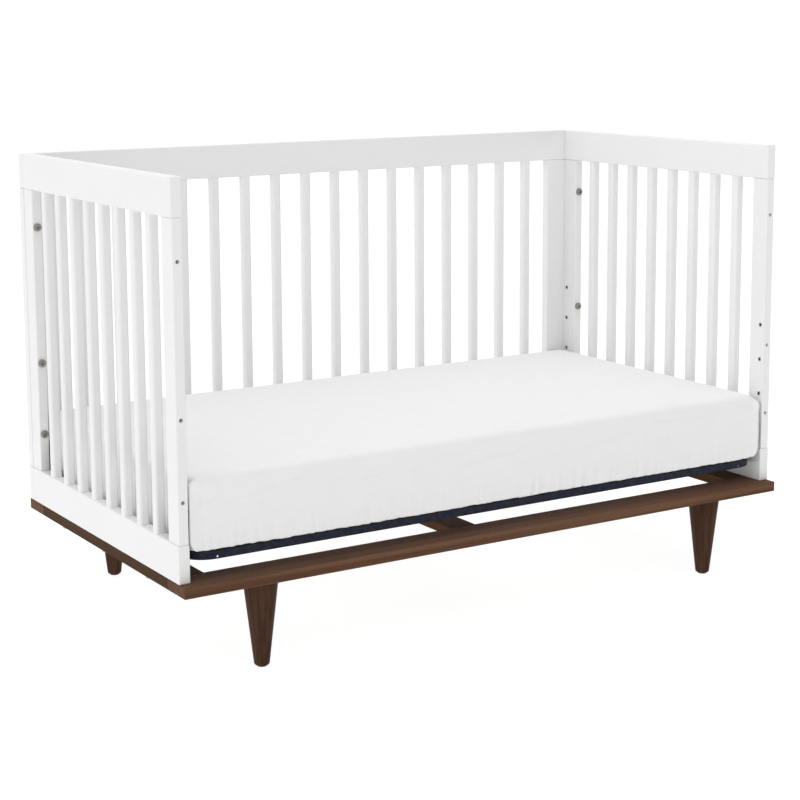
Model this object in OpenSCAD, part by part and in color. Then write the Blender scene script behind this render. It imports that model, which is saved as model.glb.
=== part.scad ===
// Full-size crib in its open-front form: painted slatted panels on a walnut base with turned legs,
// an angle-iron mattress support that hooks on at four heights, and a mattress in a fitted sheet.
// Origin on the floor under the middle of the base. X runs along the crib, Y to the back, Z up.

/* [Overall] */
// Length of the base and of the panels
crib_len = 1387; // [1150:1:1700]
// Depth of the base, front to back
base_depth = 742; // [600:1:920]
// Height from the floor to the top of the rails
crib_height = 899; // [780:1:1150]

/* [Base] */
// Height of the base's top face above the floor
base_top = 182; // [150:1:225]
// Thickness of the base boards
board_t = 20.5; // [17:0.5:26]
// Width of the four outer base boards
board_w = 72; // [66:1:90]
// Width of the cross board
cross_w = 52; // [40:1:70]
// Place of the cross board's centre along the crib
cross_x = -58; // [-200:1:200]

/* [Legs] */
// Diameter at the top of a leg
leg_top_d = 65; // [50:1:66]
// Diameter at the foot of a leg
leg_foot_d = 28; // [24:1:40]
// Rounding of the foot's edge
foot_round = 5; // [2:0.5:7]
// Distance from the end of the base to a leg's centre
leg_inset = 167.5; // [90:0.5:300]
// Diameter of the glide under a leg
glide_d = 18; // [12:1:20]
// How far a glide stands below its leg
glide_h = 1.5; // [1:0.5:3]

/* [Panels] */
// Distance from the base's front edge to the end panels
panel_setback = 22; // [10:1:40]
// Height of every rail
rail_h = 70.4; // [55:0.1:90]
// Thickness of the end panels' rails
rail_t = 22.5; // [19:0.5:30]
// Thickness of the posts
post_t = 19.5; // [18:0.5:24]
// Width of the posts
post_w = 43; // [38:1:60]
// Thickness of the back panel
back_t = 21; // [18:0.5:30]
// Width of the back panel's stiles
stile_w = 72; // [60:1:95]
// Easing of the rails', posts' and boards' long edges
edge_round = 2.5; // [1:0.5:4]

/* [Slats] */
// Side of a slat's square section
slat_w = 19.5; // [15:0.5:19.5]
// Rounding of a slat's corners
slat_round = 5; // [2:0.5:7]
// Slats in each end panel
end_slats = 8; // [6:1:10]
// Slats in the back panel
back_slats = 16; // [12:1:19]
// Gap between a post and its nearest slat
end_first_gap = 49.7; // [35:0.1:60]
// Gap between a stile and its nearest slat
back_first_gap = 50.5; // [35:0.1:60]
// Depth of the mortise that holds a slat's end
tenon_depth = 8; // [5:0.5:12]

/* [Panel joints] */
// Diameter of the wooden dowels
dowel_d = 8; // [6:1:9]
// Length of the wooden dowels
dowel_len = 40; // [30:1:50]
// Diameter of the panel bolt holes in the posts
panel_hole_d = 7.5; // [6.5:0.1:8.5]
// Heights of the panel bolts above the base's top face
panel_bolt_rise = [147, 294, 571]; // [100:1:640]
// Diameter of a panel bolt's head
panel_head_d = 16; // [12:1:17]
// Bolts under each panel
foot_bolts = 3; // [2:1:4]

/* [Mattress support] */
// Heights that the support can be set to
levels = 4; // [2:1:4]
// Distance between two heights
level_pitch = 74; // [50:1:80]
// Lowest height hole, above the base's top face
first_level = 115; // [105:1:130]
// Distance of the height holes from a post's outer edge
level_edge = 11.5; // [9:0.5:16]
// Height of the support's top face above the base at the lowest setting
deck_rise = 50; // [40:1:60]
// Height of the angle bar's upright flange
angle_h = 15; // [12:1:22]
// Width of the angle bar's flat flange
angle_w = 22; // [18:1:30]
// Thickness of the angle bar
angle_t = 2; // [1.5:0.1:2.5]
// Outer radius of the support's corners
corner_r = 50; // [35:1:60]
// Gap between the support and the end rails
support_gap_x = 3.5; // [3.4:0.1:8]
// Gap between the support and the panels' front and back planes
support_gap_y = 6; // [4:0.5:12]
// Diameter of the deck's wires
wire_d = 4; // [3:0.5:4]
// Wires that run along the crib
long_wires = 7; // [5:2:9]
// Wires that run across the crib
cross_wires = 13; // [9:2:15]
// Distance from the angle bar's flange to the deck's rim wire
spring_span = 40; // [36:1:60]

/* [Mattress] */
// Height of the mattress in its sheet
mattress_h = 135; // [100:1:152]
// Gap between the mattress and each end panel's rails
mattress_gap_x = 7; // [7:1:30]
// How far the mattress lies behind the end panels' front plane
mattress_gap_front = 2; // [1:1:15]
// Gap between the mattress and the back panel
mattress_gap_rear = 5; // [2:1:15]
// Corner radius of the mattress in plan
mattress_corner = 14; // [8:1:60]
// Thickness of the fitted sheet
sheet_t = 1; // [0.8:0.1:2]
// Width of the sheet's hem under the mattress
sheet_hem = 60; // [40:1:120]

/* [Hidden] */
$fn = 48;

// How far a cutting shape passes the face that it opens
over = 1;
// Radial play of a pin, dowel or insert in its hole
fit = 0.1;
// Play of a slat's end in its mortise, and of loose parts beside what carries them
seat = 0.2;
// How far a bolt stops short of the end of its insert
bolt_short = 1;
// Least distance of a slat behind its rail's faces
slat_set_in = 1;
// Space beyond a panel's last foot bolt, in bolt pitches
foot_end_share = 0.5;
// Bolts of the panels, the feet and the height setting
bolt_d = 6;
insert_d = 10;
insert_len = 13;
socket_d = 5;
head_h = 5;
height_head_d = 12;
height_head_h = 3;
// Bolts of the legs
leg_bolt_d = 8;
leg_bolt_len = 50;
leg_insert_d = 13;
leg_insert_len = 16;
glide_seat = 2;
// Brackets of the support
bracket_t = 3;
bracket_w = 60;
bracket_neck = 42;
bracket_head = 32;
bracket_foot_cut = 12;
bracket_shoulder = 16;
bracket_head_cut = 6;
bracket_rise = 10;
hook_land = 6;
rivet_d = 5;
rivet_head_d = 9;
rivet_head_h = 2;
rivet_pitch = 24;
corner_hole_d = 4;
corner_hole_in = 53;
// Deck springs
spring_d = 9;
spring_bore = 6;
spring_wire = 1.6;
spring_web = 2.6;
spring_lead = 5;
spring_tail = 6;
spring_cap = 1;
hook_play = 0.2;
hook_turn = 300;
// Rounding of the opening in the sheet under the mattress
hem_round = 40;

half_len = crib_len / 2;
half_depth = base_depth / 2;
base_under = base_top - board_t;
board_z = base_top - board_t / 2;
panel_front = -half_depth + panel_setback;
panel_rear = half_depth - back_t;
panel_depth = panel_rear - panel_front;
back_y = half_depth - back_t / 2;
end_x = half_len - rail_t / 2;
inner_x = half_len - rail_t;
post_face_x = end_x - post_t / 2;
rail_low_top = base_top + rail_h;
rail_high_under = crib_height - rail_h;
slat_low = rail_low_top - tenon_depth + seat;
slat_high = rail_high_under + tenon_depth - seat;
front_post_y = panel_front + post_w / 2;
rear_post_y = panel_rear - post_w / 2;
end_mid_y = (panel_front + panel_rear) / 2;
end_pitch = (panel_depth - 2 * post_w - 2 * end_first_gap - slat_w) / (end_slats - 1);
back_pitch = (crib_len - 2 * stile_w - 2 * back_first_gap - slat_w) / (back_slats - 1);
stile_x = half_len - stile_w / 2;
leg_x = half_len - leg_inset;
leg_y = half_depth - board_w / 2;
leg_bolt_z = base_under + leg_insert_len - bolt_short - leg_bolt_len;
side_board_len = base_depth - 2 * board_w;
deck_top = base_top + deck_rise;
frame_x = inner_x - support_gap_x;
frame_front = panel_front + support_gap_y;
frame_rear = panel_rear - support_gap_y;
frame_mid_y = (frame_front + frame_rear) / 2;
frame_half_y = (frame_rear - frame_front) / 2;
rim_x = frame_x - angle_w - spring_span;
rim_half_y = frame_half_y - angle_w - spring_span;
wire_drop = wire_d / 8;
long_wire_z = deck_top - angle_t - wire_drop;
cross_wire_z = long_wire_z - wire_d - fit;
web_z = deck_top - angle_t / 2;
hook_r = norm([spring_web, angle_t]) / 2 + hook_play + spring_wire / 2;
rim_hook_r = wire_d / 2 + hook_play + spring_wire / 2;
spring_hole_d = spring_wire + 2;
spring_hole_in = spring_web / 2 + hook_r;
long_side_gaps = [0 : 2 : cross_wires - 2];
short_side_gaps = [0 : 1 : long_wires - 2];
level_z = base_top + first_level;
front_level_y = panel_front + level_edge;
rear_level_y = panel_rear - level_edge;
bracket_x = frame_x + seat;
mattress_z = web_z + hook_r + spring_wire / 2 + seat;
mattress_x = inner_x - mattress_gap_x;
mattress_front = panel_front + mattress_gap_front;
mattress_rear = panel_rear - mattress_gap_rear;
mattress_mid_y = (mattress_front + mattress_rear) / 2;
mattress_half_y = (mattress_rear - mattress_front) / 2;

function end_slat_y(i) = end_mid_y + (i - (end_slats - 1) / 2) * end_pitch;
function back_slat_x(i) = (i - (back_slats - 1) / 2) * back_pitch;
function long_wire_y(i) = frame_mid_y + (2 * i / (long_wires - 1) - 1) * rim_half_y;
function cross_wire_x(i) = (2 * i / (cross_wires - 1) - 1) * rim_x;
function spring_x(i) = (cross_wire_x(i) + cross_wire_x(i + 1)) / 2;
function spring_y(i) = (long_wire_y(i) + long_wire_y(i + 1)) / 2;
function spring_flange_x(side) = side * (frame_x - angle_w + spring_hole_in);
function spring_flange_y(side) = frame_mid_y + side * (frame_half_y - angle_w + spring_hole_in);
function foot_bolt_step(i, span) = (i - (foot_bolts - 1) / 2) * span / (foot_bolts + foot_end_share);

module rounded(w, h, r) {
  square([w - 2 * r, h], center = true);
  square([w, h - 2 * r], center = true);
  for (sx = [-1, 1], sy = [-1, 1])
    translate([sx * (w / 2 - r), sy * (h / 2 - r)]) circle(r);
}

// Bars with a rounded section, from one end to the other along each axis
module bar_x(x0, x1, y, z, w, h, r) {
  translate([x0, y, z]) rotate([90, 0, 90]) linear_extrude(x1 - x0) rounded(w, h, r);
}
module bar_y(y0, y1, x, z, w, h, r) {
  translate([x, y1, z]) rotate([90, 0, 0]) linear_extrude(y1 - y0) rounded(w, h, r);
}
module bar_z(z0, z1, x, y, w, h, r) {
  translate([x, y, z0]) linear_extrude(z1 - z0) rounded(w, h, r);
}
module rod_x(x0, x1, y, z, d) {
  translate([x0, y, z]) rotate([0, 90, 0]) cylinder(h = x1 - x0, d = d);
}
module rod_y(y0, y1, x, z, d) {
  translate([x, y1, z]) rotate([90, 0, 0]) cylinder(h = y1 - y0, d = d);
}
module rod_z(z0, z1, x, y, d) {
  translate([x, y, z0]) cylinder(h = z1 - z0, d = d);
}

// Socket-head bolt along +Z, its head under the origin's plane
module bolt(len, head, thick, shank = bolt_d) {
  difference() {
    union() {
      translate([0, 0, -thick]) cylinder(h = thick, d = head);
      cylinder(h = len, d = shank);
    }
    translate([0, 0, -thick - over]) cylinder(h = thick, d = socket_d, $fn = 6);
  }
}
module insert(len, outer, inner) {
  difference() {
    cylinder(h = len, d = outer);
    translate([0, 0, -over]) cylinder(h = len + 2 * over, d = inner + 2 * fit);
  }
}

// ---- Base ----
module base_joint_dowels(grow) {
  reach = dowel_len / 2 + grow;
  for (side = [-1, 1], k = [-1, 1]) {
    joint_y = side * side_board_len / 2;
    for (sx = [-1, 1])
      rod_y(joint_y - reach, joint_y + reach, sx * (half_len - board_w / 2) + k * board_w / 4, board_z,
        dowel_d + 2 * grow);
    rod_y(joint_y - reach, joint_y + reach, cross_x + k * cross_w / 4, board_z, dowel_d + 2 * grow);
  }
}
module foot_screw_places() {
  for (sx = [-1, 1], i = [0 : foot_bolts - 1])
    translate([sx * end_x, end_mid_y + foot_bolt_step(i, panel_depth), base_under]) children();
  for (i = [0 : foot_bolts - 1])
    translate([foot_bolt_step(i, crib_len), back_y, base_under]) children();
}
module foot_screw_bores() {
  foot_screw_places() translate([0, 0, -over]) cylinder(h = board_t + 2 * over, d = bolt_d + 4 * fit);
}
module long_board(side) {
  difference() {
    bar_x(-half_len, half_len, side * leg_y, board_z, board_w, board_t, edge_round);
    base_joint_dowels(fit);
    for (sx = [-1, 1])
      rod_z(base_under - over, base_under + leg_insert_len + seat, sx * leg_x, side * leg_y,
        leg_insert_d + 2 * fit);
    foot_screw_bores();
  }
}
module side_board(side) {
  difference() {
    bar_y(-side_board_len / 2, side_board_len / 2, side * (half_len - board_w / 2), board_z,
      board_w, board_t, edge_round);
    base_joint_dowels(fit);
    foot_screw_bores();
  }
}
module base_front_board() { color("#6a4e39") long_board(-1); }
module base_rear_board() { color("#6a4e39") long_board(1); }
module base_left_board() { color("#5f4532") side_board(-1); }
module base_right_board() { color("#5f4532") side_board(1); }
module base_cross_board() {
  color("#5f4532") difference() {
    bar_y(-side_board_len / 2, side_board_len / 2, cross_x, board_z, cross_w, board_t, edge_round);
    base_joint_dowels(fit);
  }
}
module base_dowels() { color("#d9b98a") base_joint_dowels(0); }

// ---- Legs ----
module leg_profile() {
  leg_h = base_under - glide_h;
  foot_r = leg_foot_d / 2;
  top_r = leg_top_d / 2;
  flank = norm([top_r - foot_r, leg_h]);
  out_x = leg_h / flank;
  out_y = -(top_r - foot_r) / flank;
  centre_x = foot_r - foot_round * (1 + out_y) / out_x;
  polygon([[0, 0], [centre_x, 0], [centre_x, foot_round],
    [centre_x + foot_round * out_x, foot_round * (1 + out_y)], [top_r, leg_h], [0, leg_h]]);
  intersection() {
    translate([centre_x, foot_round]) circle(foot_round);
    translate([centre_x - foot_round / 2, 0]) square([2 * foot_round, 2 * foot_round]);
  }
}
module leg(sx, sy) {
  color("#513927") translate([sx * leg_x, sy * leg_y, glide_h]) difference() {
    rotate_extrude() leg_profile();
    translate([0, 0, -over]) cylinder(h = glide_seat + over, d = glide_d / 2 + 2 * fit);
    translate([0, 0, leg_bolt_z - glide_h - bolt_short])
      cylinder(h = leg_bolt_len, d = leg_bolt_d + 2 * fit);
  }
}
module leg_places() {
  for (sx = [-1, 1], sy = [-1, 1]) translate([sx * leg_x, sy * leg_y, 0]) children();
}
module leg_front_left() { leg(-1, -1); }
module leg_front_right() { leg(1, -1); }
module leg_rear_left() { leg(-1, 1); }
module leg_rear_right() { leg(1, 1); }
module leg_bolts() {
  color("#9a9a98") leg_places() translate([0, 0, leg_bolt_z]) cylinder(h = leg_bolt_len, d = leg_bolt_d);
}
module leg_inserts() {
  color("#b7a15c") leg_places() translate([0, 0, base_under])
    insert(leg_insert_len, leg_insert_d, leg_bolt_d);
}
module leg_glides() {
  color("#3a3431") leg_places() {
    cylinder(h = glide_h - seat / 2, d = glide_d);
    cylinder(h = glide_h + glide_seat - seat, d = glide_d / 2);
  }
}

// ---- End panels ----
module end_dowels(grow) {
  reach = dowel_len / 2 + grow;
  for (sx = [-1, 1], y = [front_post_y, rear_post_y], k = [-1, 1], z = [rail_low_top, rail_high_under])
    rod_z(z - reach, z + reach, sx * end_x, y + k * post_w / 4, dowel_d + 2 * grow);
}
module end_slat_row(side, z0, z1, grow) {
  for (i = [0 : end_slats - 1])
    bar_z(z0, z1, side * end_x, end_slat_y(i), slat_w + 2 * grow, slat_w + 2 * grow, slat_round + grow);
}
module rail_sockets() {
  foot_screw_places() cylinder(h = board_t + insert_len + seat, d = insert_d + 2 * fit);
}
module end_rail(side, low) {
  z = low ? base_top + rail_h / 2 : crib_height - rail_h / 2;
  joint_z = low ? rail_low_top : rail_high_under;
  difference() {
    bar_y(panel_front, panel_rear, side * end_x, z, rail_t, rail_h, edge_round);
    end_dowels(fit);
    end_slat_row(side, joint_z - tenon_depth, joint_z + tenon_depth, seat);
    rail_sockets();
  }
}
module panel_bolt_places() {
  for (sx = [-1, 1], rise = panel_bolt_rise) translate([sx * end_x, 0, base_top + rise]) children();
}
module level_places() {
  for (sx = [-1, 1], y = [front_level_y, rear_level_y], i = [0 : levels - 1])
    translate([sx * post_face_x, y, level_z + i * level_pitch]) rotate([0, sx * 90, 0]) children();
}
module post(side, y) {
  difference() {
    bar_z(rail_low_top, rail_high_under, side * end_x, y, post_t, post_w, edge_round);
    end_dowels(fit);
    panel_bolt_places() rod_y(panel_front - over, panel_rear + over, 0, 0, panel_hole_d);
    level_places() translate([0, 0, -over]) cylinder(h = insert_len + over + seat, d = insert_d + 2 * fit);
  }
}
module left_top_rail() { color("#f2f2f0") end_rail(-1, false); }
module left_bottom_rail() { color("#f2f2f0") end_rail(-1, true); }
module left_front_post() { color("#efefed") post(-1, front_post_y); }
module left_rear_post() { color("#efefed") post(-1, rear_post_y); }
module right_top_rail() { color("#f2f2f0") end_rail(1, false); }
module right_bottom_rail() { color("#f2f2f0") end_rail(1, true); }
module right_front_post() { color("#efefed") post(1, front_post_y); }
module right_rear_post() { color("#efefed") post(1, rear_post_y); }
module left_slats() {
  color("#f4f4f2") end_slat_row(-1, slat_low, slat_high, 0);
}
module right_slats() {
  color("#f4f4f2") end_slat_row(1, slat_low, slat_high, 0);
}

// ---- Back panel ----
module back_dowels(grow) {
  reach = dowel_len / 2 + grow;
  for (sx = [-1, 1], k = [-1, 1], z = [rail_low_top, rail_high_under])
    rod_z(z - reach, z + reach, sx * stile_x + k * stile_w / 4, back_y, dowel_d + 2 * grow);
}
module back_slat_row(z0, z1, grow) {
  for (i = [0 : back_slats - 1])
    bar_z(z0, z1, back_slat_x(i), back_y, slat_w + 2 * grow,
      min(slat_w, back_t - 2 * slat_set_in) + 2 * grow, slat_round + grow);
}
module back_rail(low) {
  z = low ? base_top + rail_h / 2 : crib_height - rail_h / 2;
  joint_z = low ? rail_low_top : rail_high_under;
  difference() {
    bar_x(-half_len, half_len, back_y, z, back_t, rail_h, edge_round);
    back_dowels(fit);
    back_slat_row(joint_z - tenon_depth, joint_z + tenon_depth, seat);
    rail_sockets();
  }
}
module back_stile(side) {
  difference() {
    bar_z(rail_low_top, rail_high_under, side * stile_x, back_y, stile_w, back_t, edge_round);
    back_dowels(fit);
    panel_bolt_places() rod_y(panel_rear - over, panel_rear + insert_len + seat, 0, 0, insert_d + 2 * fit);
  }
}
module back_top_rail() { color("#f2f2f0") back_rail(false); }
module back_bottom_rail() { color("#f2f2f0") back_rail(true); }
module back_left_stile() { color("#efefed") back_stile(-1); }
module back_right_stile() { color("#efefed") back_stile(1); }
module back_slats_row() {
  color("#f4f4f2") back_slat_row(slat_low, slat_high, 0);
}

// ---- Panel fasteners ----
module panel_dowels() {
  color("#d9b98a") {
    end_dowels(0);
    back_dowels(0);
  }
}
module panel_bolts() {
  color("#a8a8a6") panel_bolt_places() translate([0, panel_rear - post_w, 0]) rotate([-90, 0, 0])
    bolt(post_w + insert_len - bolt_short, panel_head_d, head_h);
}
module panel_inserts() {
  color("#b7a15c") panel_bolt_places()
    translate([0, panel_rear, 0]) rotate([-90, 0, 0]) insert(insert_len, insert_d, bolt_d);
}
module foot_screws() {
  color("#a8a8a6") foot_screw_places() bolt(board_t + insert_len - bolt_short, panel_head_d, head_h);
}
module foot_inserts() {
  color("#b7a15c") foot_screw_places() translate([0, 0, board_t]) insert(insert_len, insert_d, bolt_d);
}
module height_inserts() {
  color("#8d8d8b") level_places() insert(insert_len, insert_d, bolt_d);
}
module height_bolts() {
  bite = post_face_x - bracket_x - bracket_t;
  color("#3b3b40") for (sx = [-1, 1], y = [front_level_y, rear_level_y])
    translate([sx * (bracket_x - seat), y, level_z]) rotate([0, sx * 90, 0])
      bolt(seat + bracket_t + bite + insert_len - bolt_short, height_head_d, height_head_h);
}

// ---- Mattress support: bent angle bar, brackets, wires and springs ----
module support_outline(inset, r) {
  translate([0, frame_mid_y]) rounded(2 * (frame_x - inset), 2 * (frame_half_y - inset), r);
}
module angle_loop() {
  translate([0, 0, deck_top - angle_h]) linear_extrude(angle_h) difference() {
    support_outline(0, corner_r);
    support_outline(angle_t, corner_r - angle_t);
  }
  translate([0, 0, deck_top - angle_t]) linear_extrude(angle_t) difference() {
    support_outline(0, corner_r);
    support_outline(angle_w, corner_r - angle_w);
  }
}
module long_zone(side) {
  translate([-half_len, side > 0 ? frame_rear - corner_r : frame_front - over, 0])
    cube([crib_len, corner_r + over, crib_height]);
}
module support_holes() {
  for (side = [-1, 1], i = long_side_gaps)
    rod_z(deck_top - angle_h, deck_top + over, spring_x(i), spring_flange_y(side), spring_hole_d);
  for (side = [-1, 1], i = short_side_gaps)
    rod_z(deck_top - angle_h, deck_top + over, spring_flange_x(side), spring_y(i), spring_hole_d);
  for (sx = [-1, 1], side = [-1, 1])
    rod_y(frame_mid_y + side * frame_half_y - angle_w / 2, frame_mid_y + side * frame_half_y + angle_w / 2,
      sx * (frame_x - corner_hole_in), deck_top - angle_h + corner_hole_d, corner_hole_d);
}
module long_support_rail(side) {
  color("#23263a") difference() {
    intersection() {
      angle_loop();
      long_zone(side);
    }
    support_holes();
  }
}
module short_support_rail(side) {
  color("#23263a") difference() {
    translate([side * (frame_x - angle_w / 2), 0, 0]) {
      translate([-angle_w / 2, frame_front + corner_r, deck_top - angle_t])
        cube([angle_w, 2 * (frame_half_y - corner_r), angle_t]);
      translate([side * (angle_w - angle_t) / 2 - angle_t / 2, frame_front + corner_r, deck_top - angle_h])
        cube([angle_t, 2 * (frame_half_y - corner_r), angle_h]);
    }
    support_holes();
    rivet_bores();
  }
}
module support_front_rail() { long_support_rail(-1); }
module support_rear_rail() { long_support_rail(1); }
module support_left_rail() { short_support_rail(-1); }
module support_right_rail() { short_support_rail(1); }

module bracket_places() {
  for (sx = [-1, 1], sy = [-1, 1]) place_bracket(sx, sy) children();
}
// Turns a corner's own frame, x out of the end and y out of the side, to one of the four corners
module place_bracket(sx, sy) {
  translate([0, frame_mid_y, 0]) mirror([sx < 0 ? 1 : 0, 0, 0]) mirror([0, sy < 0 ? 1 : 0, 0]) children();
}
module bracket_rivet_places() {
  bracket_places() for (k = [0, 1])
    translate([frame_x, frame_half_y - corner_r - rivet_d - rivet_head_d / 2 - k * rivet_pitch,
      deck_top - angle_t - (angle_h - angle_t) / 2]) rotate([0, 90, 0]) children();
}
module rivet_bores() {
  bracket_rivet_places() translate([0, 0, -angle_w]) cylinder(h = 2 * angle_w, d = rivet_d + 2 * fit);
}
module bracket(sx, sy) {
  hook_y = (sy < 0 ? frame_mid_y - front_level_y : rear_level_y - frame_mid_y);
  inner_y = frame_half_y - corner_r - rivet_d - rivet_head_d - rivet_pitch;
  outer_y = inner_y + bracket_w;
  head_y = hook_y + hook_land;
  foot_z = deck_top - angle_h;
  neck_z = level_z - bracket_neck / 2;
  head_z = level_z + bracket_head / 2;
  slot_w = bolt_d + 10 * fit;
  color("#23263a") difference() {
    place_bracket(sx, sy) difference() {
      translate([bracket_x, 0, 0]) rotate([90, 0, 90]) linear_extrude(bracket_t) difference() {
        polygon([[inner_y, foot_z], [outer_y - bracket_foot_cut, foot_z],
          [outer_y, foot_z + bracket_foot_cut], [hook_y - slot_w, neck_z], [head_y, neck_z],
          [head_y, head_z - bracket_head_cut], [head_y - bracket_head_cut, head_z],
          [outer_y - bracket_shoulder, head_z], [inner_y, foot_z + angle_h + bracket_rise]]);
        translate([hook_y, level_z]) circle(d = slot_w);
        translate([hook_y - slot_w / 2, level_z - bracket_neck]) square([slot_w, bracket_neck]);
      }
    }
    rivet_bores();
  }
}
module bracket_front_left() { bracket(-1, -1); }
module bracket_front_right() { bracket(1, -1); }
module bracket_rear_left() { bracket(-1, 1); }
module bracket_rear_right() { bracket(1, 1); }
module bracket_rivets() {
  color("#8d8d8b") bracket_rivet_places() {
    translate([0, 0, -angle_t - rivet_head_h]) {
      cylinder(h = rivet_head_h, d = rivet_head_d);
      cylinder(h = angle_t + rivet_head_h + seat + bracket_t, d = rivet_d);
    }
  }
}

module deck_long_wires() {
  color("#5b5d66") for (i = [0 : long_wires - 1])
    rod_x(-rim_x - wire_d, rim_x + wire_d, long_wire_y(i), long_wire_z, wire_d);
}
module deck_cross_wires() {
  color("#5b5d66") for (i = [0 : cross_wires - 1])
    rod_y(frame_mid_y - rim_half_y - wire_d, frame_mid_y + rim_half_y + wire_d, cross_wire_x(i),
      cross_wire_z, wire_d);
}
// Hook of round wire about a point, open by a sixth of a turn
module wire_hook(r, start) {
  rotate([90, 0, 0]) rotate([0, 0, start]) rotate_extrude(angle = hook_turn)
    translate([r, 0]) circle(d = spring_wire);
}
// Coil spring from the rim wire at the origin to the flange's web along +X
module deck_spring(rim_z) {
  web_x = spring_span + spring_web / 2;
  coil_x0 = rim_hook_r + spring_lead;
  coil_x1 = web_x - hook_r - spring_tail;
  rise = web_z - rim_z;
  reach = web_x - hook_r - coil_x1;
  translate([0, 0, rim_z]) {
    wire_hook(rim_hook_r, 0);
    rod_x(rim_hook_r, coil_x0 + spring_cap, 0, 0, spring_wire);
    difference() {
      rod_x(coil_x0, coil_x1, 0, 0, spring_d);
      rod_x(coil_x0 + spring_cap, coil_x1 - spring_cap, 0, 0, spring_bore);
    }
    translate([coil_x1 - spring_cap / 2, 0, 0]) rotate([0, 90 - atan2(rise, reach), 0])
      cylinder(h = norm([rise, reach]) + spring_cap / 2, d = spring_wire);
    translate([web_x, 0, rise]) wire_hook(hook_r, 180);
  }
}
module deck_springs() {
  color("#8f9096") {
    for (side = [-1, 1], i = long_side_gaps)
      translate([spring_x(i), frame_mid_y + side * rim_half_y, 0]) rotate([0, 0, side * 90])
        deck_spring(long_wire_z);
    for (side = [-1, 1], i = short_side_gaps)
      translate([side * rim_x, spring_y(i), 0]) rotate([0, 0, side > 0 ? 0 : 180]) deck_spring(cross_wire_z);
  }
}

// ---- Mattress ----
module soft_block(shrink, z0, z1) {
  translate([0, mattress_mid_y, z0]) linear_extrude(z1 - z0)
    rounded(2 * (mattress_x - shrink), 2 * (mattress_half_y - shrink), mattress_corner - shrink);
}
module mattress_core() {
  shrink = sheet_t + seat;
  color("#fbfbfa") soft_block(shrink, mattress_z + shrink, mattress_z + mattress_h - shrink);
}
module fitted_sheet() {
  color("#fdfdfc") difference() {
    soft_block(0, mattress_z, mattress_z + mattress_h);
    soft_block(sheet_t, mattress_z + sheet_t, mattress_z + mattress_h - sheet_t);
    translate([0, mattress_mid_y, mattress_z - over]) linear_extrude(sheet_t + 2 * over)
      rounded(2 * (mattress_x - sheet_hem), 2 * (mattress_half_y - sheet_hem), hem_round);
  }
}

base_front_board();
base_rear_board();
base_left_board();
base_right_board();
base_cross_board();
base_dowels();
leg_front_left();
leg_front_right();
leg_rear_left();
leg_rear_right();
leg_bolts();
leg_inserts();
leg_glides();
left_top_rail();
left_bottom_rail();
left_front_post();
left_rear_post();
left_slats();
right_top_rail();
right_bottom_rail();
right_front_post();
right_rear_post();
right_slats();
back_top_rail();
back_bottom_rail();
back_left_stile();
back_right_stile();
back_slats_row();
panel_dowels();
panel_bolts();
panel_inserts();
foot_screws();
foot_inserts();
height_inserts();
height_bolts();
support_front_rail();
support_rear_rail();
support_left_rail();
support_right_rail();
bracket_front_left();
bracket_front_right();
bracket_rear_left();
bracket_rear_right();
bracket_rivets();
deck_long_wires();
deck_cross_wires();
deck_springs();
mattress_core();
fitted_sheet();
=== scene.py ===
import math

import bmesh
import bpy
from mathutils import Matrix, Vector, noise


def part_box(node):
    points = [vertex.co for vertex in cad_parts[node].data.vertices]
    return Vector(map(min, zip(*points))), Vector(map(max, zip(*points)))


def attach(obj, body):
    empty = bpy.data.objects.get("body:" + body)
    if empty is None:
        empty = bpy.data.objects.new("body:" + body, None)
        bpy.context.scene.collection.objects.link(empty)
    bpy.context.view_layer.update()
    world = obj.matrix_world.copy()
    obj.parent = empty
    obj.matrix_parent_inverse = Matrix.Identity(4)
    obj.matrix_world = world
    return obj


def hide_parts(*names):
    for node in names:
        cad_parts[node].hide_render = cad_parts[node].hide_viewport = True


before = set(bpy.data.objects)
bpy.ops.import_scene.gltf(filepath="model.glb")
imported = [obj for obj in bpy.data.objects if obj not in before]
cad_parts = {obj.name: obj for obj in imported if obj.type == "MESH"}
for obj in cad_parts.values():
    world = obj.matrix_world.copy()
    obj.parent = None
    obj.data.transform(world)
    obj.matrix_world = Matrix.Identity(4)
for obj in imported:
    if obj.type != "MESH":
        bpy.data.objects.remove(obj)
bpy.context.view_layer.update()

# ---------------------------------------------------------------------------------------------
# Base boards. Walnut-stained hardwood planks laid flat: two long boards with two end boards and
# an off-centre cross board dowelled between them, their edges just eased by a sander.
# ---------------------------------------------------------------------------------------------
BOARD_EASE = 0.0013
PLANKS = 97
BOARD_TONES = {"x": ((0.082, 0.038, 0.021), (0.122, 0.062, 0.036), (0.160, 0.086, 0.051)),
               "y": ((0.042, 0.018, 0.006), (0.072, 0.033, 0.013), (0.098, 0.048, 0.021))}


def only(obj):
    """Nothing else is selected or active."""
    if bpy.context.object and bpy.context.object.mode != "OBJECT":
        bpy.ops.object.mode_set(mode="OBJECT")
    bpy.ops.object.select_all(action="DESELECT")
    if obj:
        obj.select_set(True)
        bpy.context.view_layer.objects.active = obj


def settle(obj):
    """Puts the piece's place, turn and size into its mesh, so that the object sits at the origin."""
    only(obj)
    bpy.ops.object.transform_apply(location=True, rotation=True, scale=True)


def pick(obj, kind, wanted):
    """In edit mode, selects just the edges or faces of a piece that are wanted."""
    bpy.ops.mesh.select_mode(type=kind)
    bpy.ops.mesh.select_all(action="DESELECT")
    mesh = bmesh.from_edit_mesh(obj.data)
    for part in mesh.edges if kind == "EDGE" else mesh.faces:
        if wanted(part):
            part.select_set(True)
    bmesh.update_edit_mesh(obj.data)


def upright(edge):
    """An edge that stands along Z."""
    first, last = edge.verts
    return (first.co - last.co).length > 1e-6 and abs((first.co - last.co).normalized().z) > 0.99


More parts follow.
